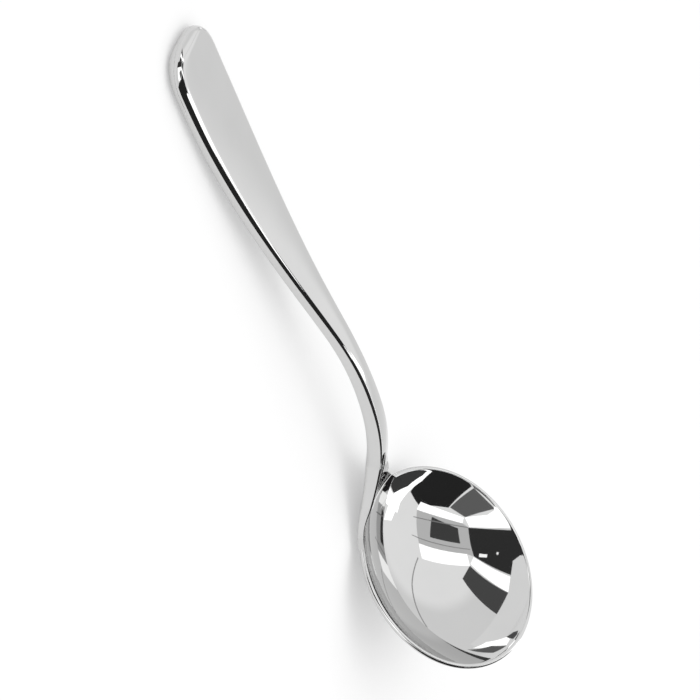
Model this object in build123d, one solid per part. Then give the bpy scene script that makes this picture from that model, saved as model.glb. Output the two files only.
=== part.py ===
"""Round-bowled soup spoon of polished steel, lying on a table.

The bowl, a forged neck with its tang, and a hollow handle of two pressed half shells are separate pieces.
Thin layers of silver braze join them, and a cement filler holds the tang inside the handle.

The spoon is drawn in its rim frame: the middle of the rim circle at the origin, X towards the handle,
Z out of the bowl. At the end it is tipped about Y until bowl and handle both touch the table.
All lengths are millimetres and all angles degrees.
"""
import math
import os
from build123d import *

# Bowl
rim_radius = 30.0
bowl_wall = 1.5
bowl_depth = 11.8

# Front line: a sweep up out of the bowl, a crook, the neck's bend, a straight and the handle's bend
crook_distance = 40.0
crook_reach = 22.8
crook_height = 36.5
crook_slope = 40.6
crook_radius = 74.6
steepest_slope = 67.8
sweep_radius = 28.0
neck_bend_radius = 118.3
handle_slope = 25.6
straight_run = 11.6
handle_bend_radius = 470.0
handle_bend_length = 88.2

# Neck, from its foot in the bowl's rim up to the handle's mouth
foot_slope = 40.0
foot_sink = 0.25
foot_half_width = 15.5
foot_thickness = 1.1
foot_hollow_radius = 36.0
foot_flare = 1.8
foot_edge_radius = 0.3
throat_distance = 18.0
throat_half_width = 3.0
throat_thickness = 5.3
waist_distance = 48.0
waist_half_width = 2.6
neck_crown = 0.2
neck_belly = 0.4
neck_front_radius = 0.55
neck_back_radius = 1.4

# Handle
mouth_offset = 2.0
grip_distance = 156.0
grip_half_width = 10.5
handle_thickness = 4.8
handle_front_radius = 2.2
handle_back_radius = 1.8
tip_length = 10.7
tip_fullness = 2.5
tip_nose_length = 2.6
shell_wall = 0.9

# Joints
braze_gap = 0.15
tang_length = 45.0
tang_clearance = 0.5

# Steps of the lofts, and how far cutting shapes reach past what they cut
fan_steps = 5
shank_steps = 4
grip_steps = 7
tip_angles = (8.0, 20.0, 36.0, 54.0, 70.0, 81.0)
tang_steps = 4
reach = 20.0

# Places along the front line, whose distances grow from the bowl to the tip
crook_point = Vector(rim_radius + crook_reach, 0, crook_height)
sweep_distance = crook_distance - math.radians(steepest_slope - crook_slope) * crook_radius
foot_distance = sweep_distance - math.radians(steepest_slope - foot_slope) * sweep_radius
neck_length = crook_distance + math.radians(crook_slope - handle_slope) * neck_bend_radius
mouth_distance = neck_length + mouth_offset
shell_start = mouth_distance + braze_gap
bend_start = neck_length + straight_run
tip_distance = bend_start + handle_bend_length
tip_start = tip_distance - tip_length

# Places on the bowl's profile, as radius and height
edge_middle = Vector(rim_radius - bowl_wall / 2, 0)
wall_radius = (edge_middle.X ** 2 + bowl_depth ** 2) / (2 * bowl_depth)
dish_middle = Vector(0, wall_radius - bowl_depth)
outside_radius = wall_radius + bowl_wall / 2


def sphere_arc(low, high):
    """Arc about the dish's middle between two points of a sphere's profile."""
    radius = (low - dish_middle).length
    halfway = (low - dish_middle + high - dish_middle).normalized() * radius + dish_middle
    return ThreePointArc(low, halfway, high)


def revolved(profile):
    """Solid of revolution of a radius and height profile about the bowl's axis."""
    return revolve(Plane.XZ * profile, Axis.Z)


def bowl(grow):
    """Pressed bowl, a spherical dish with a rounded edge, with every face moved out by grow."""
    half_wall = bowl_wall / 2 + grow
    outward = (edge_middle - dish_middle).normalized()
    upward = Vector(-outward.Y, outward.X)
    inner_edge = edge_middle - outward * half_wall
    outer_edge = edge_middle + outward * half_wall
    floor = dish_middle - Vector(0, wall_radius - half_wall)
    bottom = dish_middle - Vector(0, wall_radius + half_wall)
    return revolved(make_face([
        sphere_arc(floor, inner_edge),
        ThreePointArc(inner_edge, edge_middle + upward * half_wall, outer_edge),
        sphere_arc(bottom, outer_edge),
        Line(floor, bottom),
    ]))


def heading(slope):
    """Unit vector along the front line where it climbs at a slope."""
    return Vector(math.cos(math.radians(slope)), 0, math.sin(math.radians(slope)))


def facing(slope):
    """Unit vector out of the front face where the front line climbs at a slope."""
    return Vector(-math.sin(math.radians(slope)), 0, math.cos(math.radians(slope)))


def front_line(distance):
    """Point and slope of the front line at a distance along it."""
    upper = min(max(distance, crook_distance), neck_length)
    slope = crook_slope - math.degrees((upper - crook_distance) / neck_bend_radius)
    point = crook_point + (facing(slope) - facing(crook_slope)) * neck_bend_radius
    if distance < crook_distance:
        bent = crook_slope + math.degrees((crook_distance - max(distance, sweep_distance)) / crook_radius)
        point += (facing(bent) - facing(slope)) * crook_radius
        slope = bent
    if distance < sweep_distance:
        swept = slope - math.degrees((sweep_distance - distance) / sweep_radius)
        point += (facing(slope) - facing(swept)) * sweep_radius
        slope = swept
    if distance > neck_length:
        point += heading(slope) * (min(distance, bend_start) - neck_length)
    if distance > bend_start:
        bent = slope + math.degrees((distance - bend_start) / handle_bend_radius)
        point += (facing(slope) - facing(bent)) * handle_bend_radius
        slope = bent
    return point, slope


def section(point, slope, half_width, thickness, crown, belly, front_radius, back_radius):
    """Section square to the front line, with rounded corners.

    The front's middle stands proud of its corners by crown, and the back's middle by belly.
    """
    front = -crown
    back = belly - thickness
    front_inner = half_width - front_radius
    back_inner = half_width - back_radius
    front_side = front - front_radius
    back_side = back + back_radius
    edges = [
        ThreePointArc((-front_inner, front), (0, 0), (front_inner, front)),
        RadiusArc((front_inner, front), (half_width, front_side), front_radius),
        Line((half_width, front_side), (half_width, back_side)),
        RadiusArc((half_width, back_side), (back_inner, back), back_radius),
        ThreePointArc((back_inner, back), (0, -thickness), (-back_inner, back)),
        RadiusArc((-back_inner, back), (-half_width, back_side), back_radius),
        Line((-half_width, back_side), (-half_width, front_side)),
        RadiusArc((-half_width, front_side), (-front_inner, front), front_radius),
    ]
    return Plane(point, x_dir=(0, 1, 0), z_dir=heading(slope)) * make_face(edges)


def mixed(low, high, share):
    """Value at a share of the way from low to high."""
    return low + (high - low) * share


def eased(low, high, share):
    """Value between low and high that leaves and arrives level, for a share from 0 to 1."""
    share = min(max(share, 0.0), 1.0)
    return mixed(low, high, share ** 2 * (3 - 2 * share))


def width_at(distance):
    """Half width of waist and handle at a distance along the front line, before the tip is rounded."""
    share = (distance - waist_distance) / (grip_distance - waist_distance)
    return eased(waist_half_width, grip_half_width, share)


def edge_radii_at(distance):
    """Radii of the front and back edges, which grow evenly from the throat to the tip."""
    share = min((distance - throat_distance) / (tip_start - throat_distance), 1.0)
    front_radius = mixed(neck_front_radius, handle_front_radius, share)
    return front_radius, mixed(neck_back_radius, handle_back_radius, share)


def handle_section(distance, inset):
    """Section of the handle at a distance along the front line, moved in by inset all round."""
    point, slope = front_line(distance)
    to_tip = tip_distance - inset - distance
    end_share = max(1 - to_tip / (tip_length - inset), 0.0)
    nose_share = max(1 - to_tip / (tip_nose_length - inset), 0.0)
    half_width = (width_at(distance) - inset) * (1 - end_share ** tip_fullness) ** (1 / tip_fullness)
    full = handle_thickness - 2 * inset
    squeeze = math.sqrt(1 - nose_share ** 2)
    depth = inset + full * (1 - squeeze) / 2
    front_radius, back_radius = edge_radii_at(distance)
    return section(
        point - facing(slope) * depth, slope, half_width, full * squeeze,
        neck_crown * squeeze, neck_belly * squeeze,
        (front_radius - inset) * squeeze, (back_radius - inset) * squeeze)


def handle_body(start, inset):
    """Handle from a start distance to its rounded tip, moved in by inset all round."""
    grip = [mixed(start, tip_start, step / grip_steps) for step in range(grip_steps + 1)]
    end = tip_distance - inset
    tip = [end - (tip_length - inset) * (1 - math.sin(math.radians(angle))) for angle in tip_angles]
    return loft([handle_section(distance, inset) for distance in grip + tip])


def neck_fan():
    """Foot of the neck, which widens from the throat, hollows like the bowl and thins into the rim."""
    sections = []
    for step in range(fan_steps + 1):
        share = step / fan_steps
        point, slope = front_line(mixed(throat_distance, foot_distance, share))
        half_width = mixed(throat_half_width, foot_half_width, share ** foot_flare)
        hollow = (half_width ** 2 - throat_half_width ** 2) / (2 * foot_hollow_radius)
        sections.append(section(
            point - facing(slope) * foot_sink * share ** 2, slope, half_width,
            mixed(throat_thickness, foot_thickness, share),
            mixed(neck_crown, 0, share) - hollow, mixed(neck_belly, 0, share) + hollow,
            mixed(neck_front_radius, foot_edge_radius, share),
            mixed(neck_back_radius, foot_edge_radius, share)))
    return loft(sections)


def neck_shank():
    """Slim bent bar from the throat to the handle's mouth."""
    sections = []
    for step in range(shank_steps + 1):
        share = step / shank_steps
        distance = mixed(throat_distance, mouth_distance, share)
        point, slope = front_line(distance)
        half_width = width_at(distance) + eased(throat_half_width - waist_half_width, 0, share)
        thickness = mixed(throat_thickness, handle_thickness, share)
        sections.append(section(
            point, slope, half_width, thickness, neck_crown, neck_belly, *edge_radii_at(distance)))
    return loft(sections)


def tang():
    """Bar from the neck's end into the hollow handle, clear of the shells all round."""
    half_width = width_at(shell_start) - shell_wall - tang_clearance
    thickness = handle_thickness - 2 * (shell_wall + tang_clearance)
    sections = []
    for step in range(tang_steps + 1):
        point, slope = front_line(mouth_distance + tang_length * step / tang_steps)
        middle = Plane(point - facing(slope) * handle_thickness / 2, x_dir=(0, 1, 0), z_dir=heading(slope))
        sections.append(middle * Rectangle(2 * half_width, thickness))
    return loft(sections)


def slab(top, bottom):
    """Everything between two depths under the handle's front line."""
    far_end = tip_distance + reach

    def level(depth):
        spots = []
        for distance in (neck_length, bend_start, (bend_start + far_end) / 2, far_end):
            point, slope = front_line(distance)
            spots.append(point - facing(slope) * depth)
        return [Line(spots[0], spots[1]), ThreePointArc(*spots[1:])], spots[0], spots[-1]

    upper, upper_start, upper_end = level(top)
    lower, lower_start, lower_end = level(bottom)
    side = make_face(upper + lower + [Line(upper_start, lower_start), Line(upper_end, lower_end)])
    return extrude(side, grip_half_width + reach, dir=(0, 1, 0), both=True)


def pieces():
    """Every piece of the spoon by name, in the rim frame."""
    neck_blank = neck_fan() + neck_shank()
    bare_bowl = bowl(0)
    brazed_bowl = bowl(braze_gap)
    tang_bar = tang()
    shells = handle_body(shell_start, 0)
    cavity = handle_body(shell_start, shell_wall)
    hollow = shells - cavity
    seam_top = (handle_thickness - braze_gap) / 2
    seam_bottom = (handle_thickness + braze_gap) / 2
    return {
        "bowl": bare_bowl,
        "neck": neck_blank - brazed_bowl + tang_bar,
        "bowl_braze": (neck_blank & brazed_bowl) - bare_bowl,
        "handle_mouth_braze": extrude(handle_section(mouth_distance, 0), braze_gap) - tang_bar,
        "handle_front_shell": hollow & slab(-reach, seam_top),
        "handle_back_shell": hollow & slab(seam_bottom, reach),
        "handle_seam_braze": hollow & slab(seam_top, seam_bottom),
        "handle_filler": cavity - tang_bar,
    }


def lying():
    """Move from the rim frame to the table, with the bowl's resting point at the origin."""
    start, slope = front_line(bend_start)
    bend_middle = start + facing(slope) * handle_bend_radius
    across = bend_middle - Vector(0, 0, dish_middle.Y)
    under_handle = handle_bend_radius + handle_thickness
    climb = math.atan2(across.Z, across.X) - math.asin((under_handle - outside_radius) / across.length)
    shift = Vector(-dish_middle.Y * math.sin(climb), 0, outside_radius - dish_middle.Y * math.cos(climb))
    return Location(shift, (0, math.degrees(climb), 0))


def main():
    """Write one STEP file for each piece."""
    os.makedirs("parts", exist_ok=True)
    place = lying()
    for name, piece in pieces().items():
        export_step(piece.moved(place), f"parts/{name}.step")


main()
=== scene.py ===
"""Polished steel soup spoon lying on a pale table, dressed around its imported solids.

The spoon is drawn in its rim frame, in millimetres: the middle of the rim circle at the origin, X towards the
handle, Z out of the bowl. Each finished mesh is then laid on the table in metres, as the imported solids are.
"""
import logging
import math
from dataclasses import dataclass, field
from enum import Enum

import bmesh
import bpy
from mathutils import Matrix, Vector


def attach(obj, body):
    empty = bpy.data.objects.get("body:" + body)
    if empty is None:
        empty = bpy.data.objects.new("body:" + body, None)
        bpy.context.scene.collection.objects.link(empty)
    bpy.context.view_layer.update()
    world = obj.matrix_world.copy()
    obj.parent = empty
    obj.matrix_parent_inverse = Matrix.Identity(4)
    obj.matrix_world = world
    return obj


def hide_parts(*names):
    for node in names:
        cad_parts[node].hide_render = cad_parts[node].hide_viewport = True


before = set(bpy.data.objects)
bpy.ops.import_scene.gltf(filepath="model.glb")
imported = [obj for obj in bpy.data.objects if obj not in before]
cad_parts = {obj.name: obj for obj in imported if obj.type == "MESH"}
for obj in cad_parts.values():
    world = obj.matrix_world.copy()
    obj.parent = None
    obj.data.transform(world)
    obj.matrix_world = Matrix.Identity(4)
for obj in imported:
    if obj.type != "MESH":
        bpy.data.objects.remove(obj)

LOG = logging.getLogger("spoon")
METRES = 0.001
SHARP_ANGLE = 40.0
MERGE_DISTANCE = 1e-4
SLIVER_LENGTH = 1e-5
Point = tuple[float, float]
Color = tuple[float, float, float]


class Slot(Enum):
    """Material slots of the record."""

    STEEL = "polished_steel"
    BRAZE = "silver_braze"


def mixed(low: float, high: float, share: float) -> float:
    """Value at a share of the way from low to high."""
    return low + (high - low) * share


def eased(low: float, high: float, share: float) -> float:
    """Value between low and high that leaves and arrives level, for a share from 0 to 1."""
    share = min(max(share, 0.0), 1.0)
    return mixed(low, high, share * share * (3 - 2 * share))


def heading(slope: float) -> Vector:
    """Unit vector along the front line where it climbs at a slope in degrees."""
    return Vector((math.cos(math.radians(slope)), 0, math.sin(math.radians(slope))))


def facing(slope: float) -> Vector:
    """Unit vector out of the front face where the front line climbs at a slope in degrees."""
    return Vector((-math.sin(math.radians(slope)), 0, math.cos(math.radians(slope))))


@dataclass(frozen=True)
class BowlSizes:
    """Sizes of the bowl's profile, in millimetres."""

    rim_radius: float = 30.0
    wall: float = 1.5
    depth: float = 11.8

    @property
    def edge_middle(self) -> Vector:
        """Middle of the rim's round edge, in the profile's plane."""
        return Vector((self.rim_radius - self.wall / 2, 0, 0))

    @property
    def wall_radius(self) -> float:
        """Radius of the sphere that the middle of the wall lies on."""
        return (self.edge_middle.x ** 2 + self.depth ** 2) / (2 * self.depth)

    @property
    def inside_radius(self) -> float:
        """Radius of the dish's inside."""
        return self.wall_radius - self.wall / 2

    @property
    def outside_radius(self) -> float:
        """Radius of the dish's outside."""
        return self.wall_radius + self.wall / 2

    @property
    def dish_middle(self) -> Vector:
        """Middle of the sphere that the dish is part of."""
        return Vector((0, 0, self.wall_radius - self.depth))

    @property
    def through_wall(self) -> Vector:
        """Direction out through the wall at the rim's edge, in the profile's plane."""
        return (self.edge_middle - self.dish_middle).normalized()


@dataclass(frozen=True)
class FrontLine:
    """Front line of neck and handle, from the bowl to the tip, in millimetres and degrees.

    It sweeps up out of the bowl, bends over in a crook and in the neck, runs straight, and bends up along the
    handle.
    """

    crook_point: Vector = field(default_factory=lambda: Vector((52.8, 0, 36.5)))
    crook_distance: float = 40.0
    crook_slope: float = 40.6
    crook_radius: float = 74.6
    steepest_slope: float = 67.8
    sweep_radius: float = 28.0
    foot_slope: float = 40.0
    neck_bend_radius: float = 118.3
    handle_slope: float = 25.6
    straight_run: float = 11.6
    handle_bend_radius: float = 470.0
    handle_bend_length: float = 88.2

    @property
    def sweep_start(self) -> float:
        """Distance of the steepest place, under which the line sweeps into the bowl."""
        return self.crook_distance - math.radians(self.steepest_slope - self.crook_slope) * self.crook_radius

    @property
    def foot_end(self) -> float:
        """Distance at which the foot ends inside the bowl's wall."""
        return self.sweep_start - math.radians(self.steepest_slope - self.foot_slope) * self.sweep_radius

    @property
    def neck_length(self) -> float:
        """Distance at which the neck's bend ends."""
        bend = math.radians(self.crook_slope - self.handle_slope)
        return self.crook_distance + bend * self.neck_bend_radius

    @property
    def bend_start(self) -> float:
        """Distance at which the handle starts to bend up again."""
        return self.neck_length + self.straight_run

    @property
    def tip(self) -> float:
        """Distance of the handle's tip."""
        return self.bend_start + self.handle_bend_length

    def at(self, distance: float) -> tuple[Vector, float]:
        """Point and slope at a distance along the line.

        Args:
            distance: Length along the line, which grows from the bowl to the tip.

        Returns:
            The point in the rim frame, and the slope there in degrees.
        """
        upper = min(max(distance, self.crook_distance), self.neck_length)
        slope = self.crook_slope - math.degrees((upper - self.crook_distance) / self.neck_bend_radius)
        point = self.crook_point + (facing(slope) - facing(self.crook_slope)) * self.neck_bend_radius
        if distance < self.crook_distance:
            below = self.crook_distance - max(distance, self.sweep_start)
            bent = slope + math.degrees(below / self.crook_radius)
            point += (facing(bent) - facing(slope)) * self.crook_radius
            slope = bent
        if distance < self.sweep_start:
            swept = slope - math.degrees((self.sweep_start - distance) / self.sweep_radius)
            point += (facing(slope) - facing(swept)) * self.sweep_radius
            slope = swept
        if distance > self.neck_length:
            point += heading(slope) * (min(distance, self.bend_start) - self.neck_length)
        if distance > self.bend_start:
            bent = slope + math.degrees((distance - self.bend_start) / self.handle_bend_radius)
            point += (facing(slope) - facing(bent)) * self.handle_bend_radius
            slope = bent
        return point, slope


@dataclass(frozen=True)
class TablePose:
    """How the spoon lies: bowl and handle both touch the table, the bowl's resting point at the origin."""

    bowl: BowlSizes
    line: FrontLine
    handle_thickness: float

    def matrix(self) -> Matrix:
        """Lay the rim frame on the table.

        Returns:
            The move from the rim frame in millimetres to the table in metres.
        """
        start, slope = self.line.at(self.line.bend_start)
        bend_middle = start + facing(slope) * self.line.handle_bend_radius
        middle_height = self.bowl.dish_middle.z
        outside_radius = self.bowl.outside_radius
        across = bend_middle - self.bowl.dish_middle
        drop = self.line.handle_bend_radius + self.handle_thickness - outside_radius
        climb = math.atan2(across.z, across.x) - math.asin(drop / across.length)
        lift = outside_radius - middle_height * math.cos(climb)
        shift = Vector((-middle_height * math.sin(climb), 0, lift))
        return Matrix.Scale(METRES, 4) @ Matrix.Translation(shift) @ Matrix.Rotation(climb, 4, "Y")


@dataclass(frozen=True)
class Section:
    """Section square to the front line, with rounded corners, in millimetres."""

    half_width: float
    thickness: float
    crown: float
    belly: float
    front_radius: float
    back_radius: float

    FLAT_STEPS = 36
    CORNER_STEPS = 10
    SIDE_STEPS = 3
    WIDTH_ROOM = 0.45
    DEPTH_ROOM = 0.4
    CORNER_KEPT = 0.2

    @classmethod
    def half_count(cls) -> int:
        """Steps round half the outline, from one side seam over a face to the other."""
        return cls.FLAT_STEPS + 2 * (cls.CORNER_STEPS + cls.SIDE_STEPS)

    def moved_in(self, wall: float) -> "Section":
        """Move the section in all round, as far as there is room.

        Args:
            wall: How far it moves in.

        Returns:
            The smaller section.
        """
        depth = self.thickness - self.crown - self.belly
        room = min(wall, self.WIDTH_ROOM * self.half_width, self.DEPTH_ROOM * depth)
        return Section(
            self.half_width - room, self.thickness - 2 * room, self.crown, self.belly,
            max(self.front_radius - room, self.CORNER_KEPT * self.front_radius),
            max(self.back_radius - room, self.CORNER_KEPT * self.back_radius))

    def face_half(self, front: bool) -> list[Point]:
        """Outline of the front or back half, from the seam at negative across to the one at positive across.

        Args:
            front: Whether it is the half with the front face.

        Returns:
            Points as across and depth under the front line.
        """
        sign = 1.0 if front else -1.0
        level = self.crown if front else self.thickness - self.belly
        bulge = self.crown if front else self.belly
        radius = self.front_radius if front else self.back_radius
        inner = self.half_width - radius
        corner = level + sign * radius
        seam = (self.crown + self.thickness - self.belly) / 2
        points = [(-self.half_width, mixed(seam, corner, step / self.SIDE_STEPS))
                  for step in range(self.SIDE_STEPS)]
        for step in range(self.CORNER_STEPS):
            turn = math.radians(90) * step / self.CORNER_STEPS
            points.append((-inner - radius * math.cos(turn), corner - sign * radius * math.sin(turn)))
        points += [
            (inner * (2 * step / self.FLAT_STEPS - 1),
             level - sign * bulge * (1 - (2 * step / self.FLAT_STEPS - 1) ** 2))
            for step in range(self.FLAT_STEPS + 1)]
        mirrored = [(-across, depth) for across, depth in points]
        middle = len(points) - 1 - self.FLAT_STEPS
        return points + mirrored[:middle][::-1]


def linked(bm: bmesh.types.BMesh, name: str) -> bpy.types.Object:
    """Turn a finished bmesh into an object of the scene.

    Args:
        bm: The bmesh, which is freed.
        name: Name of the mesh and the object.

    Returns:
        The new object.
    """
    mesh = bpy.data.meshes.new(name)
    bm.to_mesh(mesh)
    bm.free()
    made = bpy.data.objects.new(name, mesh)
    bpy.context.scene.collection.objects.link(made)
    return made


class Mesher:
    """Builds one piece in a bmesh by extruding edge chains, and turns it into an object on the table."""

    def __init__(self) -> None:
        """Start with an empty mesh."""
        self.bm = bmesh.new()

    def chain(self, places: list[Vector], closed: bool) -> list[bmesh.types.BMVert]:
        """Start a chain of vertices joined by edges.

        Args:
            places: Where the vertices go.
            closed: Whether the last vertex joins the first.

        Returns:
            The chain's vertices in order.
        """
        verts = [self.bm.verts.new(place) for place in places]
        for first, second in zip(verts, verts[1:]):
            self.bm.edges.new((first, second))
        if closed:
            self.bm.edges.new((verts[-1], verts[0]))
        return verts

    def cap(self, chain: list[bmesh.types.BMVert]) -> None:
        """Close a ring with one face.

        Args:
            chain: The ring's vertices in order.
        """
        edges = [self.bm.edges.get(pair) for pair in zip(chain, chain[1:] + chain[:1])]
        bmesh.ops.contextual_create(self.bm, geom=edges)

    def extrude(self, chain: list[bmesh.types.BMVert], places: list[Vector]) -> list[bmesh.types.BMVert]:
        """Extrude a chain and put its new vertices in their places.

        Args:
            chain: The chain to extrude, whose edges lie on the mesh's border.
            places: Where the new vertices go, in the chain's order.

        Returns:
            The new chain's vertices in order.
        """
        members = set(chain)
        edges = {edge for vert in chain for edge in vert.link_edges
                 if edge.other_vert(vert) in members and len(edge.link_faces) < 2}
        made = bmesh.ops.extrude_edge_only(self.bm, edges=list(edges))["geom"]
        fresh = {item for item in made if isinstance(item, bmesh.types.BMVert)}
        following = []
        for vert, place in zip(chain, places):
            new = next(edge.other_vert(vert) for edge in vert.link_edges if edge.other_vert(vert) in fresh)
            new.co = place
            following.append(new)
        return following

    def arc(self, start: bmesh.types.BMVert, middle: Vector, turn: float, steps: int) -> bmesh.types.BMVert:
        """Spin a vertex of the profile about a point of its plane.

        Args:
            start: The vertex that the arc starts from.
            middle: The arc's middle.
            turn: Angle in radians, positive from Z towards X.
            steps: Number of edges.

        Returns:
            The arc's last vertex.
        """
        made = bmesh.ops.spin(self.bm, geom=[start], cent=middle, axis=(0, 1, 0), angle=turn, steps=steps)
        return next(item for item in made["geom_last"] if isinstance(item, bmesh.types.BMVert))

    def run(self, start: bmesh.types.BMVert, end: Vector) -> bmesh.types.BMVert:
        """Draw a straight edge of the profile.

        Args:
            start: The vertex that the edge starts from.
            end: Where it ends.

        Returns:
            The edge's other vertex.
        """
        following = self.bm.verts.new(end)
        self.bm.edges.new((start, following))
        return following

    def finish(self, name: str, place: Matrix) -> bpy.types.Object:
        """Close the mesh, lay it on the table and make it an object.

        Args:
            name: The object's name.
            place: Move from the rim frame to the table.

        Returns:
            The new object, linked to the scene.
        """
        bmesh.ops.remove_doubles(self.bm, verts=self.bm.verts, dist=MERGE_DISTANCE)
        bmesh.ops.dissolve_degenerate(self.bm, edges=self.bm.edges, dist=SLIVER_LENGTH)
        bmesh.ops.recalc_face_normals(self.bm, faces=self.bm.faces)
        bmesh.ops.transform(self.bm, matrix=place, verts=self.bm.verts)
        for face in self.bm.faces:
            face.smooth = True
        for edge in self.bm.edges:
            edge.smooth = edge.calc_face_angle(0.0) < math.radians(SHARP_ANGLE)
        return linked(self.bm, name)


class Piece:
    """Piece of the spoon, whose mesh a subclass shapes in the rim frame."""

    name: str

    def shape(self, mesher: Mesher) -> None:
        """Shape the piece's mesh in the rim frame.

        Args:
            mesher: What the mesh is built in.
        """
        raise NotImplementedError

    def build(self, place: Matrix) -> bpy.types.Object:
        """Shape the piece and lay it on the table.

        Args:
            place: Move from the rim frame to the table.

        Returns:
            The piece's object.
        """
        mesher = Mesher()
        self.shape(mesher)
        return mesher.finish(self.name, place)


def turn_between(middle: Vector, start: Vector, end: Vector) -> float:
    """Angle from one point to another about a middle, the short way round.

    Args:
        middle: The point that the angle is measured about.
        start: Where the angle starts.
        end: Where it ends.

    Returns:
        The angle in radians, positive from Z towards X.
    """
    first, second = start - middle, end - middle
    turn = math.atan2(second.x, second.z) - math.atan2(first.x, first.z)
    return (turn + math.pi) % (2 * math.pi) - math.pi


@dataclass
class Bowl(Piece):
    """Pressed bowl: a plain spherical dish with a rounded edge."""

    sizes: BowlSizes
    dish_steps: int = 90
    edge_steps: int = 14
    round_steps: int = 240
    name: str = "soup_bowl"

    def shape(self, mesher: Mesher) -> None:
        """Spin the profile about the bowl's axis.

        Args:
            mesher: What the mesh is built in.
        """
        sizes = self.sizes
        middle, half_wall = sizes.dish_middle, sizes.wall / 2
        inner_edge = sizes.edge_middle - sizes.through_wall * half_wall
        outer_edge = sizes.edge_middle + sizes.through_wall * half_wall
        floor = middle - Vector((0, 0, sizes.inside_radius))
        bottom = middle - Vector((0, 0, sizes.outside_radius))

        vert = mesher.bm.verts.new(floor)
        vert = mesher.arc(vert, middle, turn_between(middle, floor, inner_edge), self.dish_steps)
        vert = mesher.arc(vert, sizes.edge_middle, math.pi, self.edge_steps)
        mesher.arc(vert, middle, turn_between(middle, outer_edge, bottom), self.dish_steps)
        bmesh.ops.spin(
            mesher.bm, geom=mesher.bm.verts[:] + mesher.bm.edges[:], cent=(0, 0, 0), axis=(0, 0, 1),
            angle=2 * math.pi, steps=self.round_steps, use_merge=True)


@dataclass
class BowlBraze(Piece):
    """Thin braze that wraps the rim's edge inside the neck's foot, in millimetres and degrees."""

    sizes: BowlSizes
    gap: float = 0.1
    spread: float = 19.0
    wrap: float = 150.0
    wrap_steps: int = 12
    round_steps: int = 24
    name: str = "rim_braze"

    def shape(self, mesher: Mesher) -> None:
        """Spin a thin crescent round the rim's edge.

        Args:
            mesher: What the mesh is built in.
        """
        sizes = self.sizes
        turn = Matrix.Rotation(math.radians(90 - self.wrap / 2), 3, "Y")
        inward = turn @ -sizes.through_wall
        near = sizes.edge_middle + inward * sizes.wall / 2
        vert = mesher.bm.verts.new(near)
        start = vert
        vert = mesher.arc(vert, sizes.edge_middle, math.radians(self.wrap), self.wrap_steps)
        out = (vert.co - sizes.edge_middle).normalized()
        vert = mesher.run(vert, sizes.edge_middle + out * (sizes.wall / 2 + self.gap))
        vert = mesher.arc(vert, sizes.edge_middle, -math.radians(self.wrap), self.wrap_steps)
        mesher.bm.edges.new((vert, start))
        bmesh.ops.contextual_create(mesher.bm, geom=mesher.bm.edges[:])
        bmesh.ops.rotate(mesher.bm, verts=mesher.bm.verts[:], cent=(0, 0, 0),
                         matrix=Matrix.Rotation(math.radians(-self.spread), 3, "Z"))
        bmesh.ops.spin(
            mesher.bm, geom=mesher.bm.verts[:] + mesher.bm.edges[:] + mesher.bm.faces[:], cent=(0, 0, 0),
            axis=(0, 0, 1), angle=math.radians(2 * self.spread), steps=self.round_steps)


@dataclass
class Foot:
    """Foot of the neck, in millimetres: it fans out of the throat and runs into the bowl's wall and rim."""

    sizes: BowlSizes
    half_width: float = 15.5
    thickness: float = 1.1
    sink: float = 0.25
    hollow_radius: float = 36.0
    flare: float = 1.1
    edge_radius: float = 0.3
    settle_start: float = 0.45
    settle_end: float = 0.86
    proud: float = 0.02
    steps: int = 260

    def section(self, throat: Section, share: float) -> Section:
        """Section at a share of the way from the throat to the foot's end.

        Args:
            throat: The neck's section at the throat.
            share: Share of the way.

        Returns:
            The section there.
        """
        half_width = mixed(throat.half_width, self.half_width, share ** self.flare)
        hollow = (half_width ** 2 - throat.half_width ** 2) / (2 * self.hollow_radius)
        return Section(
            half_width, mixed(throat.thickness, self.thickness, share),
            mixed(throat.crown, 0, share) - hollow, mixed(throat.belly, 0, share) + hollow,
            mixed(throat.front_radius, self.edge_radius, share),
            mixed(throat.back_radius, self.edge_radius, share))

    def settled(self, spot: Vector, share: float, front: bool) -> Vector:
        """Draw a point of the foot onto the bowl's inside or outside, the more so the nearer the foot's end.

        Args:
            spot: The point in the rim frame.
            share: Share of the way from the throat to the foot's end.
            front: Whether the point belongs to the front.

        Returns:
            The drawn point.
        """
        arm = spot - self.sizes.dish_middle
        goal = self.sizes.inside_radius - self.proud if front else self.sizes.outside_radius + self.proud
        weight = eased(0, 1, (share - self.settle_start) / (self.settle_end - self.settle_start))
        return self.sizes.dish_middle + arm * (mixed(arm.length, goal, weight) / arm.length)

    def end_place(self, spot: Vector) -> Vector:
        """Point in the middle of the bowl's wall under a point of the foot's end."""
        arm = spot - self.sizes.dish_middle
        return self.sizes.dish_middle + arm * (self.sizes.wall_radius / arm.length)


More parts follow.
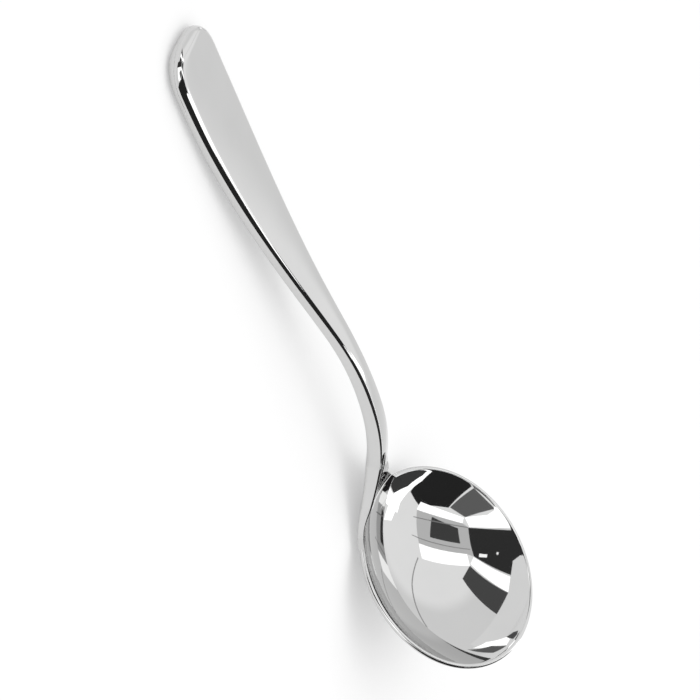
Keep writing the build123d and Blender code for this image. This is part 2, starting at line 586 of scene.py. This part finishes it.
@dataclass
class Bar:
    """Neck and handle, which share one front line and one family of sections, in millimetres."""

    line: FrontLine
    throat_distance: float = 18.0
    throat_half_width: float = 3.0
    throat_thickness: float = 5.3
    waist_distance: float = 48.0
    waist_half_width: float = 2.6
    grip_distance: float = 156.0
    grip_half_width: float = 10.5
    thickness: float = 4.8
    mouth_offset: float = 2.0
    tip_length: float = 10.7
    tip_fullness: float = 2.5
    tip_nose_length: float = 2.6
    crown: float = 0.2
    belly: float = 0.4
    neck_front_radius: float = 0.55
    neck_back_radius: float = 1.4
    handle_front_radius: float = 2.2
    handle_back_radius: float = 1.8
    skin: float = 0.03

    @property
    def mouth(self) -> float:
        """Distance at which the neck ends and the hollow handle starts."""
        return self.line.neck_length + self.mouth_offset

    @property
    def tip_start(self) -> float:
        """Distance at which the handle's end starts to round."""
        return self.line.tip - self.tip_length

    def section(self, distance: float) -> Section:
        """Section of neck or handle, before the tip is rounded.

        Args:
            distance: Place along the front line.

        Returns:
            The section there, proud of the solids by the thin skin of polish.
        """
        share = (distance - self.waist_distance) / (self.grip_distance - self.waist_distance)
        half_width = eased(self.waist_half_width, self.grip_half_width, share)
        neck_share = (distance - self.throat_distance) / (self.mouth - self.throat_distance)
        half_width += eased(self.throat_half_width - self.waist_half_width, 0, neck_share)
        thickness = mixed(self.throat_thickness, self.thickness, min(max(neck_share, 0), 1))
        edge_share = min((distance - self.throat_distance) / (self.tip_start - self.throat_distance), 1.0)
        return Section(
            half_width + self.skin, thickness + 2 * self.skin, self.crown, self.belly,
            mixed(self.neck_front_radius, self.handle_front_radius, edge_share),
            mixed(self.neck_back_radius, self.handle_back_radius, edge_share))

    def tip_section(self, distance: float) -> tuple[Section, float]:
        """Section in the rounded end of the handle.

        Args:
            distance: Place along the front line.

        Returns:
            The section there and the depth of its front under the front line.
        """
        full = self.section(distance)
        to_tip = self.line.tip - distance
        end_share = max(1 - to_tip / self.tip_length, 0.0)
        nose_share = max(1 - to_tip / self.tip_nose_length, 0.0)
        round_off = (1 - end_share ** self.tip_fullness) ** (1 / self.tip_fullness)
        squeeze = math.sqrt(1 - nose_share ** 2)
        section = Section(
            full.half_width * round_off, full.thickness * squeeze, full.crown * squeeze, full.belly * squeeze,
            full.front_radius * squeeze, full.back_radius * squeeze)
        return section, full.thickness * (1 - squeeze) / 2

    def stations(self, grip_steps: int, tip_steps: int, tip_turn: float) -> list[float]:
        """Distances along the handle: even along the grip, then closer and closer round the tip.

        Args:
            grip_steps: Number of steps along the grip.
            tip_steps: Number of steps round the tip.
            tip_turn: Angle in degrees at which the steps round the tip end, where 90 is the very tip.

        Returns:
            The distances, from the mouth on.
        """
        grip = [mixed(self.mouth, self.tip_start, step / grip_steps) for step in range(grip_steps)]
        turns = [math.radians(tip_turn * step / tip_steps) for step in range(tip_steps + 1)]
        return grip + [self.line.tip - self.tip_length * (1 - math.sin(turn)) for turn in turns]

    def places(self, distance: float, outline: list[Point], depth: float) -> list[Vector]:
        """Put an outline square to the front line.

        Args:
            distance: Place along the front line.
            outline: Points as across and depth.
            depth: Further depth under the front line.

        Returns:
            Points in the rim frame.
        """
        point, slope = self.line.at(distance)
        return [point + Vector((0, across, 0)) - facing(slope) * (under + depth - self.skin)
                for across, under in outline]


@dataclass
class Neck(Piece):
    """Forged neck: a tang inside the handle, the slim bent shank and the foot that fans out into the rim."""

    bar: Bar
    foot: Foot
    tang_length: float = 45.0
    tang_half_width: float = 2.2
    tang_thickness: float = 2.0
    tang_bulge: float = 0.05
    tang_corner: float = 0.3
    tang_steps: int = 6
    shank_steps: int = 90
    name: str = "bent_neck"

    def shape(self, mesher: Mesher) -> None:
        """Extrude the outline from the tang's end down into the bowl's wall.

        Args:
            mesher: What the mesh is built in.
        """
        bar, foot = self.bar, self.foot
        slack = (bar.thickness - self.tang_thickness) / 2
        tang_ring = self.ring(Section(
            self.tang_half_width, self.tang_thickness, self.tang_bulge, self.tang_bulge,
            self.tang_corner, self.tang_corner))
        chain = mesher.chain(bar.places(bar.mouth + self.tang_length, tang_ring, slack), closed=True)
        mesher.cap(chain)
        for step in range(1, self.tang_steps + 1):
            distance = bar.mouth + self.tang_length * (1 - step / self.tang_steps)
            chain = mesher.extrude(chain, bar.places(distance, tang_ring, slack))
        for step in range(self.shank_steps + 1):
            distance = mixed(bar.mouth, bar.throat_distance, step / self.shank_steps)
            chain = mesher.extrude(chain, bar.places(distance, self.ring(bar.section(distance)), 0))
        half = Section.half_count()
        for step in range(1, foot.steps + 1):
            share = step / foot.steps
            distance = mixed(bar.throat_distance, bar.line.foot_end, share)
            outline = self.ring(foot.section(bar.section(bar.throat_distance), share))
            spots = bar.places(distance, outline, foot.sink * share ** 2)
            places = [foot.settled(spot, share, index < half) for index, spot in enumerate(spots)]
            chain = mesher.extrude(chain, places)
        mesher.cap(mesher.extrude(chain, [foot.end_place(spot) for spot in places]))

    @staticmethod
    def ring(section: Section) -> list[Point]:
        """Whole outline of a section, front half first."""
        return section.face_half(True)[:-1] + section.face_half(False)[:0:-1]


class Half(Enum):
    """The two pressed halves of the hollow handle."""

    FRONT = "handle_front_shell"
    BACK = "handle_back_shell"


@dataclass
class HandleShell(Piece):
    """One pressed half of the hollow handle, from its mouth to the seam round the tip."""

    bar: Bar
    half: Half
    wall: float = 0.9
    grip_steps: int = 70
    tip_steps: int = 26
    tip_turn: float = 88.5

    @property
    def name(self) -> str:
        """Name of the piece."""
        return self.half.value + "_skin"

    def shape(self, mesher: Mesher) -> None:
        """Extrude the sheet's outline from the mouth to the tip.

        Args:
            mesher: What the mesh is built in.
        """
        bar = self.bar
        stations = bar.stations(self.grip_steps, self.tip_steps, self.tip_turn)
        chain = mesher.chain(self.ring(stations[0]), closed=True)
        mesher.cap(chain)
        for distance in stations[1:]:
            chain = mesher.extrude(chain, self.ring(distance))
        section, depth = bar.tip_section(stations[-1])
        across = [spot for spot, _ in section.face_half(self.half is Half.FRONT)]
        nose = [(spot, section.thickness / 2) for spot in across + across[::-1]]
        mesher.extrude(chain, bar.places(bar.line.tip, nose, depth))

    def ring(self, distance: float) -> list[Vector]:
        """Closed outline of the sheet at a distance along the front line: outside one way, inside back.

        Args:
            distance: Place along the front line.

        Returns:
            Points in the rim frame.
        """
        front = self.half is Half.FRONT
        section, depth = self.bar.tip_section(distance)
        outside = self.bar.places(distance, section.face_half(front), depth)
        hollow = section.moved_in(self.wall)
        deeper = depth + (section.thickness - hollow.thickness) / 2
        inside = self.bar.places(distance, hollow.face_half(front), deeper)
        return outside + inside[::-1]


@dataclass
class SeamBraze(Piece):
    """Braze inside the handle's side walls, along the line where the two shells meet, in millimetres."""

    bar: Bar
    inset: float = 0.15
    inset_share: float = 0.1
    wall: float = 0.9
    height: float = 0.2
    grip_steps: int = 40
    tip_steps: int = 16
    tip_turn: float = 80.0
    name: str = "shell_seam_braze"

    def shape(self, mesher: Mesher) -> None:
        """Extrude a thin strip along each side of the handle.

        Args:
            mesher: What the mesh is built in.
        """
        stations = self.bar.stations(self.grip_steps, self.tip_steps, self.tip_turn)
        for side in (1.0, -1.0):
            chain = mesher.chain(self.ring(stations[0], side), closed=True)
            mesher.cap(chain)
            for distance in stations[1:]:
                chain = mesher.extrude(chain, self.ring(distance, side))
            mesher.cap(chain)

    def ring(self, distance: float, side: float) -> list[Vector]:
        """Closed outline of the strip at a distance along the front line.

        Args:
            distance: Place along the front line.
            side: 1 for the side at positive across, -1 for the other.

        Returns:
            Points in the rim frame.
        """
        section, depth = self.bar.tip_section(distance)
        outer = section.half_width - min(self.inset, self.inset_share * section.half_width)
        inner = section.moved_in(self.wall).half_width
        seam, half = (section.crown + section.thickness - section.belly) / 2, self.height / 2
        outline = [(outer, seam - half), (outer, seam + half), (inner, seam + half), (inner, seam - half)]
        return self.bar.places(distance, [(side * across, under) for across, under in outline], depth)


def blank_material(name: str) -> tuple[bpy.types.Material, bpy.types.Node]:
    """Start a material with nodes.

    Args:
        name: The material's name.

    Returns:
        The new material and its Principled BSDF.
    """
    material = bpy.data.materials.new(name)
    material.use_nodes = True
    return material, material.node_tree.nodes["Principled BSDF"]


def add_node(tree: bpy.types.NodeTree, kind: str, values: dict[str, object]) -> bpy.types.Node:
    """Add a shader node.

    Args:
        tree: The tree that it goes into.
        kind: The node's type, without the words ShaderNode before it.
        values: Values of its inputs, by name.

    Returns:
        The new node.
    """
    node = tree.nodes.new("ShaderNode" + kind)
    for name, value in values.items():
        node.inputs[name].default_value = value
    return node


@dataclass(frozen=True)
class PolishingMarks:
    """Shader group of polishing hairlines and faint clouding, shared by the metal finishes."""

    name: str = "polishing_marks"
    turn: tuple[float, float, float] = (0.3, 0.2, 0.5)
    stretch: tuple[float, float, float] = (60.0, 2600.0, 2600.0)
    hairline_scale: float = 1.0
    hairline_detail: float = 3.0
    hairline_from: float = 0.62
    hairline_to: float = 0.78
    cloud_scale: float = 90.0
    cloud_detail: float = 4.0

    def build(self) -> bpy.types.NodeTree:
        """Make the node group once.

        Returns:
            The node group, with tints and roughness as inputs, and color, roughness and height as outputs.
        """
        known = bpy.data.node_groups.get(self.name)
        if known:
            return known
        group = bpy.data.node_groups.new(self.name, "ShaderNodeTree")
        for name, kind in (("Light", "Color"), ("Shade", "Color"), ("Smooth", "Float"), ("Worn", "Float")):
            group.interface.new_socket(name, in_out="INPUT", socket_type="NodeSocket" + kind)
        for name, kind in (("Color", "Color"), ("Roughness", "Float"), ("Height", "Float")):
            group.interface.new_socket(name, in_out="OUTPUT", socket_type="NodeSocket" + kind)
        nodes, links = group.nodes, group.links
        inputs, outputs = nodes.new("NodeGroupInput"), nodes.new("NodeGroupOutput")
        place = nodes.new("ShaderNodeTexCoord")
        stretch = add_node(group, "Mapping", {"Rotation": self.turn, "Scale": self.stretch})
        hairlines = add_node(
            group, "TexNoise", {"Scale": self.hairline_scale, "Detail": self.hairline_detail})
        clouds = add_node(group, "TexNoise", {"Scale": self.cloud_scale, "Detail": self.cloud_detail})
        links.new(place.outputs["Object"], stretch.inputs["Vector"])
        links.new(stretch.outputs["Vector"], hairlines.inputs["Vector"])
        links.new(place.outputs["Object"], clouds.inputs["Vector"])
        fine = add_node(group, "MapRange", {"From Min": self.hairline_from, "From Max": self.hairline_to})
        links.new(hairlines.outputs["Fac"], fine.inputs["Value"])
        tint = nodes.new("ShaderNodeMix")
        tint.data_type = "RGBA"
        links.new(clouds.outputs["Fac"], tint.inputs["Factor"])
        links.new(inputs.outputs["Light"], tint.inputs["A"])
        links.new(inputs.outputs["Shade"], tint.inputs["B"])
        links.new(tint.outputs["Result"], outputs.inputs["Color"])
        wear = nodes.new("ShaderNodeMath")
        wear.operation = "MULTIPLY"
        links.new(fine.outputs["Result"], wear.inputs[0])
        links.new(clouds.outputs["Fac"], wear.inputs[1])
        rough = nodes.new("ShaderNodeMapRange")
        links.new(wear.outputs["Value"], rough.inputs["Value"])
        links.new(inputs.outputs["Smooth"], rough.inputs["To Min"])
        links.new(inputs.outputs["Worn"], rough.inputs["To Max"])
        links.new(rough.outputs["Result"], outputs.inputs["Roughness"])
        links.new(fine.outputs["Result"], outputs.inputs["Height"])
        return group


@dataclass(frozen=True)
class Metal:
    """Polished metal: two tints, its roughness where smooth and worn, and the height of its hairlines."""

    name: str
    light: Color
    shade: Color
    smooth: float
    worn: float
    hairline_height: float

    def build(self) -> bpy.types.Material:
        """Make the material.

        Returns:
            The new material.
        """
        material, surface = blank_material(self.name)
        tree, links = material.node_tree, material.node_tree.links
        surface.inputs["Metallic"].default_value = 1.0
        marks = tree.nodes.new("ShaderNodeGroup")
        marks.node_tree = PolishingMarks().build()
        marks.inputs["Light"].default_value = (*self.light, 1)
        marks.inputs["Shade"].default_value = (*self.shade, 1)
        marks.inputs["Smooth"].default_value = self.smooth
        marks.inputs["Worn"].default_value = self.worn
        links.new(marks.outputs["Color"], surface.inputs["Base Color"])
        links.new(marks.outputs["Roughness"], surface.inputs["Roughness"])
        if self.hairline_height:
            bump = add_node(tree, "Bump", {"Strength": self.hairline_height, "Distance": METRES})
            links.new(marks.outputs["Height"], bump.inputs["Height"])
            links.new(bump.outputs["Normal"], surface.inputs["Normal"])
        return material


@dataclass(frozen=True)
class PolishedSteel(Metal):
    """Mirror-polished stainless steel with fine hairlines left by the polishing wheel."""

    name: str = "polished_steel_mirror"
    light: Color = (0.64, 0.64, 0.638)
    shade: Color = (0.6, 0.6, 0.598)
    smooth: float = 0.03
    worn: float = 0.10
    hairline_height: float = 0.003


@dataclass(frozen=True)
class SilverBraze(Metal):
    """Silver braze, ground flush and polished with the steel."""

    name: str = "silver_braze_polished"
    light: Color = (0.78, 0.77, 0.74)
    shade: Color = (0.68, 0.67, 0.64)
    smooth: float = 0.08
    worn: float = 0.3
    hairline_height: float = 0.0


@dataclass(frozen=True)
class CementFiller:
    """Hardened handle cement: grey, matt and slightly grainy."""

    name: str = "cement_filler_grey"
    light: Color = (0.58, 0.56, 0.53)
    shade: Color = (0.50, 0.48, 0.45)
    roughness: float = 0.85
    grain_scale: float = 900.0
    grain_detail: float = 4.0
    grain_height: float = 0.2

    def build(self) -> bpy.types.Material:
        """Make the material.

        Returns:
            The new material.
        """
        material, surface = blank_material(self.name)
        tree, links = material.node_tree, material.node_tree.links
        surface.inputs["Roughness"].default_value = self.roughness
        place = tree.nodes.new("ShaderNodeTexCoord")
        grain = add_node(tree, "TexNoise", {"Scale": self.grain_scale, "Detail": self.grain_detail})
        links.new(place.outputs["Object"], grain.inputs["Vector"])
        tint = tree.nodes.new("ShaderNodeMix")
        tint.data_type = "RGBA"
        tint.inputs["A"].default_value = (*self.shade, 1)
        tint.inputs["B"].default_value = (*self.light, 1)
        links.new(grain.outputs["Fac"], tint.inputs["Factor"])
        links.new(tint.outputs["Result"], surface.inputs["Base Color"])
        bump = add_node(tree, "Bump", {"Strength": self.grain_height, "Distance": METRES})
        links.new(grain.outputs["Fac"], bump.inputs["Height"])
        links.new(bump.outputs["Normal"], surface.inputs["Normal"])
        return material


@dataclass(frozen=True)
class PhotoView:
    """Camera at the photograph's viewing angle, against the rim frame in degrees, millimetres and pixels."""

    tilt: float = 43.38
    roll: float = 56.30
    heading: float = 25.0
    rim_middle: tuple[float, float, float] = (27.245, 60.645, 870.0)
    focal_pixels: float = 3103.0
    image_pixels: float = 700.0
    sensor: float = 36.0
    near_clip: float = 0.01

    def axes(self) -> Matrix:
        """Work out how the rim frame stands in the picture.

        Returns:
            The rim frame's axes as columns, in the picture's right, down and forward directions.
        """
        tilt, roll, turn = (math.radians(angle) for angle in (self.tilt, self.roll, self.heading))
        long_axis = Vector((math.cos(roll), math.sin(roll), 0))
        short_axis = Vector((math.sin(roll), -math.cos(roll), 0))
        toward = Vector((0, 0, -1))
        cross = short_axis * math.cos(tilt) - toward * math.sin(tilt)
        normal = short_axis * math.sin(tilt) + toward * math.cos(tilt)
        handle = -long_axis * math.cos(turn) - cross * math.sin(turn)
        return Matrix((handle, normal.cross(handle), normal)).transposed()

    def build(self, place: Matrix) -> bpy.types.Object:
        """Make the scene's camera.

        Args:
            place: Move from the rim frame to the table.

        Returns:
            The camera.
        """
        back = self.axes().transposed()
        flip = Matrix(((1, 0, 0), (0, -1, 0), (0, 0, -1)))
        spot = place @ (back @ -Vector(self.rim_middle))
        camera = bpy.data.objects.new("photo_camera", bpy.data.cameras.new("photo_camera"))
        turned = place.to_quaternion().to_matrix() @ back @ flip
        camera.matrix_world = Matrix.Translation(spot) @ turned.to_4x4()
        camera.data.sensor_width = self.sensor
        camera.data.lens = self.focal_pixels * self.sensor / self.image_pixels
        camera.data.clip_start = self.near_clip
        bpy.context.scene.collection.objects.link(camera)
        bpy.context.scene.camera = camera
        return camera


@dataclass(frozen=True)
class Card:
    """Studio card or light panel that only the polished metal sees.

    Its corners are directions from the origin, in degrees round and up. Its distance is in metres.
    """

    name: str
    brightness: float
    distance: float
    corners: tuple[Point, ...]

    def build(self) -> bpy.types.Object:
        """Make the card round the bowl.

        Returns:
            The card's object.
        """
        bm = bmesh.new()
        verts = []
        for around, up in self.corners:
            turn, climb = math.radians(around), math.radians(up)
            level, height = math.cos(climb) * self.distance, math.sin(climb) * self.distance
            verts.append(bm.verts.new((level * math.cos(turn), level * math.sin(turn), height)))
        bm.faces.new(verts)
        card = linked(bm, self.name)
        material, surface = blank_material(self.name)
        surface.inputs["Base Color"].default_value = (0, 0, 0, 1)
        surface.inputs["Specular IOR Level"].default_value = 0
        surface.inputs["Emission Color"].default_value = (1, 1, 1, 1)
        surface.inputs["Emission Strength"].default_value = self.brightness
        card.data.materials.append(material)
        card.visible_camera = False
        card.visible_diffuse = False
        card.visible_shadow = False
        return card


@dataclass
class Studio:
    """Pale floor, soft light and the cards that the polished metal mirrors, in metres."""

    floor_half: float = 8.0
    floor_color: Color = (0.56, 0.56, 0.56)
    floor_roughness: float = 0.9
    lift: float = 0.34
    wall_grey: float = 1.12
    wall_low: float = 0.93
    rise_from: float = 0.5
    rise_to: float = 0.66
    lamp_power: float = 4.0
    lamp_size: float = 1.2
    lamp_place: tuple[float, float, float] = (0.05, 0.1, 1.4)
    cards: tuple[Card, ...] = (
        Card("left_softbox", brightness=2.0, distance=5.2,
             corners=((172.7, 72.5), (52.7, 60.7), (44.4, 62), (190.2, 73.7))),
        Card("right_softbox", brightness=2.0, distance=5.2,
             corners=((-92.4, 74), (4.5, 53.2), (-6, 47.5), (-76.2, 66.7))),
        Card("right_low_softbox", brightness=2.0, distance=5.4,
             corners=((5.1, 47.6), (0.5, 17.1), (-12.6, 14.6), (-3.6, 47.7))),
        Card("left_low_softbox", brightness=2.0, distance=5.4,
             corners=((39.4, 56), (52.8, 59.9), (53, 42), (57, 36.5), (66, 36), (85, 44), (85, 20),
                      (41, 14))),
        Card("dark_screen", brightness=0.04, distance=6,
             corners=((38.4, 57), (39, 26), (40, 6), (22, 6), (1.8, 14), (6, 47.6), (18, 53))),
        Card("ceiling", brightness=0.7, distance=6.4,
             corners=((190, 74), (44.4, 62), (38, 56), (6, 47), (4.5, 53.2), (-92.4, 74))),
        Card("dark_panel", brightness=0.07, distance=6,
             corners=((116, 85), (35.8, 65.3), (13.2, 60.8), (-48.2, 81.7))),
        Card("dark_wedge", brightness=0.09, distance=6,
             corners=((-24.2, 46.6), (-6, 47.5), (-13.1, 14), (-35.3, 11.5))),
        Card("dark_end", brightness=0.025, distance=6.8,
             corners=((155, 54), (186, 59.5), (181, 72.6), (80, 71), (87, 49), (90, 20), (100, -2),
                      (155, -2))),
        Card("dark_far_end", brightness=0.06, distance=6.6,
             corners=((203, -2), (203, 43), (198, 50), (189, 55), (180, 57), (166, 57), (155, 52),
                      (150, -2))),
        Card("arch_left", brightness=2.1, distance=4.8,
             corners=((152, 51.5), (152, 55.5), (166, 59.5), (166, 56))),
        Card("arch_middle", brightness=2.1, distance=4.8,
             corners=((166, 56), (166, 59.5), (188, 58), (188, 54))),
        Card("arch_right", brightness=2.1, distance=4.8,
             corners=((188, 54), (188, 58), (219, 49), (219, 39), (203, 44))),
        Card("first_speck", brightness=1.5, distance=4.4,
             corners=((11.3, 44.7), (13.5, 38.6), (10.4, 38.3), (7.8, 44))),
        Card("second_speck", brightness=1.25, distance=4.4,
             corners=((16, 32), (18.5, 32), (18.2, 30.4), (16, 30.6))),
        Card("upper_rail", brightness=0.3, distance=4.8,
             corners=((206.5, 72.9), (39, 57.3), (37.8, 57.3), (208, 73.1))),
        Card("lower_rail", brightness=0.3, distance=4.8,
             corners=((240.2, 71.4), (12.3, 52.1), (11.3, 52.2), (241.6, 71.3))),
        Card("grey_panel", brightness=0.16, distance=6.4,
             corners=((86, 48), (58.4, 35.7), (53, 59.4), (79, 70))),
        Card("panel_joint", brightness=1.1, distance=5.8,
             corners=((90, 45), (86.5, 45), (78.5, 70.5), (80.5, 71))),
        Card("wall_joint", brightness=0.45, distance=6,
             corners=((-84, 65.5), (-86.2, 65.5), (-93.6, 45.5), (-95.5, 18), (-94.2, 18), (-92.2, 45.5))),
        Card("sweep", brightness=1.0, distance=5.6,
             corners=((-75, -3), (-75, 8), (-36, 12.3), (-13, 14.4), (1, 17), (14, 18.5), (19.5, 14),
                      (22, -3))),
        Card("edge_strip", brightness=2.5, distance=5.6,
             corners=((204, 10), (210, 10), (212, 55), (204, 55))),
        # The three cards close to the spoon are not studio things. They paint a reflection into the bowl's
        # near rim, a bright band and two dark streaks, standing in for the spoon's own double reflections
        # there.
        Card("low_light", brightness=2.0, distance=0.3,
             corners=((-83.5, 9.9), (-70, 10.7), (-57.3, 5.3), (-58.8, 2.9), (-66, 1.9), (-71, 6.8))),
        Card("low_corner", brightness=0.1, distance=0.29,
             corners=((-57.6, 5.8), (-50.9, 4.3), (-48.3, 2.3), (-52.5, 1.3), (-58.2, 1.6))),
        Card("low_streak", brightness=0.15, distance=0.31,
             corners=((-88, 9.4), (-71.9, 6.9), (-66.5, 1.3), (-79.1, 2.4), (-85.4, 6.8))),
    )

    def build(self) -> None:
        """Make the floor, the cards, the lamp and the world."""
        self.build_floor()
        for card in self.cards:
            card.build()
        self.build_lamp()
        self.build_world()

    def build_floor(self) -> bpy.types.Object:
        """Make the pale floor, which keeps the object's shadow.

        Returns:
            The floor.
        """
        bm = bmesh.new()
        bmesh.ops.create_grid(bm, x_segments=1, y_segments=1, size=self.floor_half)
        floor = linked(bm, "pale_floor")
        material, surface = blank_material("pale_floor")
        nodes, links = material.node_tree.nodes, material.node_tree.links
        surface.inputs["Base Color"].default_value = (*self.floor_color, 1)
        surface.inputs["Roughness"].default_value = self.floor_roughness
        surface.inputs["Specular IOR Level"].default_value = 0.0
        path = nodes.new("ShaderNodeLightPath")
        seen = path.outputs["Is Camera Ray"]
        for ray in ("Is Glossy Ray", "Is Transmission Ray"):
            either = nodes.new("ShaderNodeMath")
            either.operation = "MAXIMUM"
            links.new(seen, either.inputs[0])
            links.new(path.outputs[ray], either.inputs[1])
            seen = either.outputs["Value"]
        glow = nodes.new("ShaderNodeMath")
        glow.operation = "MULTIPLY"
        glow.inputs[1].default_value = self.lift
        links.new(seen, glow.inputs[0])
        surface.inputs["Emission Color"].default_value = (1, 1, 1, 1)
        links.new(glow.outputs["Value"], surface.inputs["Emission Strength"])
        floor.data.materials.append(material)
        return floor

    def build_lamp(self) -> bpy.types.Object:
        """Make the soft lamp over the spoon.

        Returns:
            The lamp.
        """
        data = bpy.data.lights.new("soft_lamp", "AREA")
        data.energy = self.lamp_power
        data.size = self.lamp_size
        lamp = bpy.data.objects.new("soft_lamp", data)
        lamp.location = self.lamp_place
        lamp.visible_camera = False
        lamp.visible_glossy = False
        bpy.context.scene.collection.objects.link(lamp)
        return lamp

    def build_world(self) -> None:
        """Give the room its light-grey walls, a little darker low down."""
        world = bpy.data.worlds.new("soft_room")
        bpy.context.scene.world = world
        world.use_nodes = True
        nodes, links = world.node_tree.nodes, world.node_tree.links
        place = nodes.new("ShaderNodeTexCoord")
        height = nodes.new("ShaderNodeSeparateXYZ")
        links.new(place.outputs["Generated"], height.inputs["Vector"])
        rise = add_node(world.node_tree, "MapRange", {
            "From Min": self.rise_from, "From Max": self.rise_to,
            "To Min": self.wall_low, "To Max": self.wall_grey})
        rise.interpolation_type = "SMOOTHSTEP"
        links.new(height.outputs["Z"], rise.inputs["Value"])
        sky = nodes["Background"]
        sky.inputs["Color"].default_value = (1, 1, 1, 1)
        links.new(rise.outputs["Result"], sky.inputs["Strength"])


class Spoon:
    """The whole spoon: its pieces, where they lie and how they are finished."""

    def __init__(self) -> None:
        """Take the sizes that every piece shares."""
        self.sizes = BowlSizes()
        self.line = FrontLine()
        self.bar = Bar(self.line)
        self.place = TablePose(self.sizes, self.line, self.bar.thickness).matrix()

    def build(self) -> None:
        """Build every piece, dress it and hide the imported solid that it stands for."""
        steel, braze, cement = PolishedSteel().build(), SilverBraze().build(), CementFiller().build()
        pieces = [
            (Bowl(self.sizes).build(self.place), "bowl", steel, Slot.STEEL),
            (Neck(self.bar, Foot(self.sizes)).build(self.place), "neck", steel, Slot.STEEL),
            (BowlBraze(self.sizes).build(self.place), "bowl_braze", braze, Slot.BRAZE),
            (SeamBraze(self.bar).build(self.place), "handle_seam_braze", braze, Slot.BRAZE),
        ]
        for half in Half:
            pieces.append((HandleShell(self.bar, half).build(self.place), half.value, steel, Slot.STEEL))
        for piece, node, finish, slot in pieces:
            piece.data.materials.append(finish)
            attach(piece, "root")
            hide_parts(node)
            LOG.info("piece %s stands for %s with %d faces", piece.name, node, len(piece.data.polygons))
        for node, finish in (("handle_mouth_braze", braze), ("handle_filler", cement)):
            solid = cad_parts[node]
            solid.data.materials.clear()
            solid.data.materials.append(finish)
            LOG.info("solid %s is dressed in %s", node, finish.name)


def main() -> None:
    """Build the spoon, the studio and the camera."""
    logging.basicConfig(level=logging.INFO, format="%(name)s: %(message)s")
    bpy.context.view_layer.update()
    bpy.context.scene.view_settings.view_transform = "Standard"
    spoon = Spoon()
    spoon.build()
    Studio().build()
    PhotoView().build(spoon.place)


if __name__ == "__main__":
    main()
